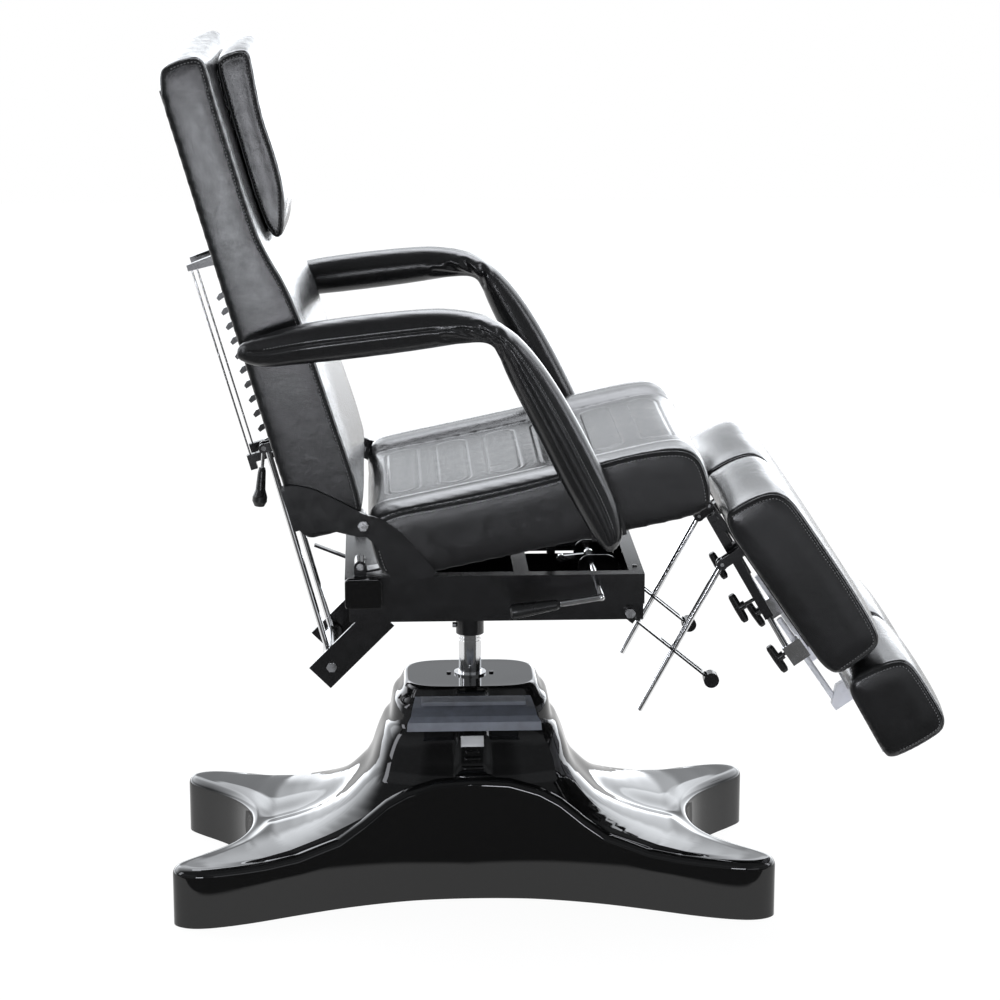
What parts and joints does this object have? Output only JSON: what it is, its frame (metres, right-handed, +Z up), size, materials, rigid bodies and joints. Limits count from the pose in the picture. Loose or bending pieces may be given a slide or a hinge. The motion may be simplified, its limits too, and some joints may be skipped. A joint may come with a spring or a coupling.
{
  "type": "pedicure chair",
  "caption": "Hydraulic pedicure and treatment chair with tilting seat, reclining back, swing armrests and separately raised, extending leg rests.",
  "frame": {"origin": "centre of the underside of the steel base plate, on the floor, below the column", "axes": "+Z up along the column, +X towards the sitter's feet, +Y to the sitter's left"},
  "size_m": [1.2574, 0.726, 1.4123],
  "materials": {
    "gloss_cover": "gloss",
    "black_steel": "satin powder coat",
    "chrome": "polished",
    "grey_rubber": "matt",
    "vinyl": "grained synthetic leather",
    "grip": "satin",
    "plywood": "black lined board",
    "board": "polished"
  },
  "bodies": {
    "base": {"base_plate": "black_steel", "foot_pads": "grey_rubber", "base_cover": "gloss_cover", "pump_body": "black_steel", "guide_collar": "chrome", "cover_screws": "black_steel", "pedal_pin": "chrome"},
    "pedal": {"pedal_arm": "black_steel", "pedal_pad": "grey_rubber"},
    "piston": {"piston": "chrome"},
    "chassis": {"spindle_socket": "black_steel", "lower_channel": "black_steel", "tray_frame": "black_steel", "rear_cross_tube": "black_steel", "tube_caps": "gloss_cover", "prop_arms": "black_steel", "shaft_plates": "black_steel", "chassis_bolts": "chrome"},
    "tilt_lever": {"tilt_shaft": "chrome", "tilt_grip": "grip"},
    "strut": {"tilt_strut": "black_steel"},
    "seat": {"seat_frame": "black_steel", "seat_board": "plywood", "seat_cushion": "vinyl", "seat_hinge_plates": "black_steel", "seat_pins": "chrome", "armrest_brackets": "black_steel"},
    "back": {"back_board": "plywood", "back_cushion": "vinyl", "back_hinge_plates": "black_steel", "back_rack": "black_steel", "guide_frame": "chrome", "head_pillow": "vinyl"},
    "release": {"release_shaft": "chrome", "release_grip": "grip"},
    "prop_axle": {"prop_axle": "chrome"},
    "prop": {"prop_frame": "chrome"},
    "armrest_left": {"armrest_left": "vinyl", "armrest_stud_left": "black_steel"},
    "leg_left": {"leg_frame_left": "black_steel", "calf_pad_left": "vinyl"},
    "extension_left": {"extension_left": "chrome"},
    "foot_left": {"foot_frame_left": "board", "foot_cushion_left": "vinyl"},
    "upper_knob_left": {"upper_knob_left": "grip"},
    "lower_knob_left": {"lower_knob_left": "grip"},
    "leg_rod_left": {"leg_rod_left": "chrome"},
    "lock_left": {"lock_lever_left": "black_steel"},
    "armrest_right": {"armrest_right": "vinyl", "armrest_stud_right": "black_steel"},
    "leg_right": {"leg_frame_right": "black_steel", "calf_pad_right": "vinyl"},
    "extension_right": {"extension_right": "chrome"},
    "foot_right": {"foot_frame_right": "board", "foot_cushion_right": "vinyl"},
    "upper_knob_right": {"upper_knob_right": "grip"},
    "lower_knob_right": {"lower_knob_right": "grip"},
    "leg_rod_right": {"leg_rod_right": "chrome"},
    "lock_right": {"lock_lever_right": "black_steel"}
  },
  "joints": [
    {"name": "pedal_press", "type": "hinge", "parent": "base", "child": "pedal", "pos_m": [0, -0.066, 0.3], "axis": [1, 0, 0], "range_deg": [0, 22], "stiffness_Nm_per_rad": 6, "springref_deg": -17.19},
    {"name": "lift", "type": "slide", "parent": "base", "child": "piston", "axis": [0, 0, 1], "range_m": [-0.05, 0.09]},
    {"name": "swivel", "type": "hinge", "parent": "piston", "child": "chassis", "pos_m": [0, 0, 0.45], "axis": [0, 0, 1], "continuous": true},
    {"name": "tilt_release", "type": "hinge", "parent": "chassis", "child": "tilt_lever", "pos_m": [0.2, 0, 0.556], "axis": [0, 1, 0], "range_deg": [0, 12], "stiffness_Nm_per_rad": 3, "springref_deg": -17.19},
    {"name": "seat_tilt", "type": "hinge", "parent": "chassis", "child": "seat", "pos_m": [-0.183, 0, 0.586], "axis": [0, 1, 0], "range_deg": [0, 11.8]},
    {"name": "strut_swing", "type": "hinge", "parent": "seat", "child": "strut", "pos_m": [0.136, 0, 0.628], "axis": [0, -1, 0], "range_deg": [0, 11.8]},
    {"name": "recline", "type": "hinge", "parent": "seat", "child": "back", "pos_m": [-0.177, 0, 0.681], "axis": [0, -1, 0], "range_deg": [0, 64]},
    {"name": "rack_release", "type": "hinge", "parent": "back", "child": "release", "pos_m": [-0.3367, -0.118, 0.77116], "axis": [0, 1, 0], "range_deg": [0, 20], "stiffness_Nm_per_rad": 0.6, "springref_deg": -17.19},
    {"name": "prop_swing", "type": "hinge", "parent": "chassis", "child": "prop_axle", "pos_m": [-0.232, 0, 0.398], "axis": [0, -1, 0], "range_deg": [0, 50]},
    {"name": "prop_lean", "type": "hinge", "parent": "prop_axle", "child": "prop", "pos_m": [-0.232, 0, 0.398], "axis": [0, 1, 0], "range_deg": [0, 6]},
    {"name": "armrest_swing_left", "type": "hinge", "parent": "seat", "child": "armrest_left", "pos_m": [0.206, 0.334, 0.68], "axis": [0, 1, 0], "range_deg": [0, 85]},
    {"name": "leg_raise_left", "type": "hinge", "parent": "seat", "child": "leg_left", "pos_m": [0.38, 0.1625, 0.681], "axis": [0, -1, 0], "range_deg": [-8, 68]},
    {"name": "leg_extend_left", "type": "slide", "parent": "leg_left", "child": "extension_left", "axis": [0.4985, 0, -0.8669], "range_m": [0, 0.12]},
    {"name": "foot_extend_left", "type": "slide", "parent": "extension_left", "child": "foot_left", "axis": [0.5664, 0, -0.8241], "range_m": [0, 0.04]},
    {"name": "upper_clamp_left", "type": "hinge", "parent": "leg_left", "child": "upper_knob_left", "pos_m": [0.46782, 0.14, 0.51629], "axis": [0.8669, 0, 0.4985], "range_deg": [-90, 90]},
    {"name": "lower_clamp_left", "type": "hinge", "parent": "extension_left", "child": "lower_knob_left", "pos_m": [0.53138, 0.14, 0.43073], "axis": [0.8241, 0, 0.5664], "range_deg": [-90, 90]},
    {"name": "leg_rod_swing_left", "type": "hinge", "parent": "leg_left", "child": "leg_rod_left", "pos_m": [0.40405, 0.169, 0.58104], "axis": [0, 1, 0], "range_deg": [-12, 80]},
    {"name": "lock_swing_left", "type": "hinge", "parent": "chassis", "child": "lock_left", "pos_m": [0.257, 0.152, 0.496], "axis": [0, 1, 0], "range_deg": [0, 11.8]},
    {"name": "armrest_swing_right", "type": "hinge", "parent": "seat", "child": "armrest_right", "pos_m": [0.206, -0.334, 0.68], "axis": [0, 1, 0], "range_deg": [0, 85]},
    {"name": "leg_raise_right", "type": "hinge", "parent": "seat", "child": "leg_right", "pos_m": [0.38, -0.1625, 0.681], "axis": [0, -1, 0], "range_deg": [-8, 68]},
    {"name": "leg_extend_right", "type": "slide", "parent": "leg_right", "child": "extension_right", "axis": [0.4985, 0, -0.8669], "range_m": [0, 0.12]},
    {"name": "foot_extend_right", "type": "slide", "parent": "extension_right", "child": "foot_right", "axis": [0.5664, 0, -0.8241], "range_m": [0, 0.04]},
    {"name": "upper_clamp_right", "type": "hinge", "parent": "leg_right", "child": "upper_knob_right", "pos_m": [0.46782, -0.14, 0.51629], "axis": [0.8669, 0, 0.4985], "range_deg": [-90, 90]},
    {"name": "lower_clamp_right", "type": "hinge", "parent": "extension_right", "child": "lower_knob_right", "pos_m": [0.53138, -0.14, 0.43073], "axis": [0.8241, 0, 0.5664], "range_deg": [-90, 90]},
    {"name": "leg_rod_swing_right", "type": "hinge", "parent": "leg_right", "child": "leg_rod_right", "pos_m": [0.40405, -0.169, 0.58104], "axis": [0, 1, 0], "range_deg": [-12, 80]},
    {"name": "lock_swing_right", "type": "hinge", "parent": "chassis", "child": "lock_right", "pos_m": [0.257, -0.152, 0.496], "axis": [0, 1, 0], "range_deg": [0, 11.8]}
  ],
  "couplings": [
    {"joint": "strut_swing", "follows": "seat_tilt", "ratio": 1},
    {"joint": "prop_swing", "follows": "recline", "ratio": 0.61},
    {"joint": "prop_lean", "follows": "seat_tilt", "ratio": 0.48},
    {"joint": "leg_rod_swing_left", "follows": "leg_raise_left", "ratio": 1.15},
    {"joint": "lock_swing_left", "follows": "seat_tilt", "ratio": 1},
    {"joint": "leg_rod_swing_right", "follows": "leg_raise_right", "ratio": 1.15},
    {"joint": "lock_swing_right", "follows": "seat_tilt", "ratio": 1}
  ]
}
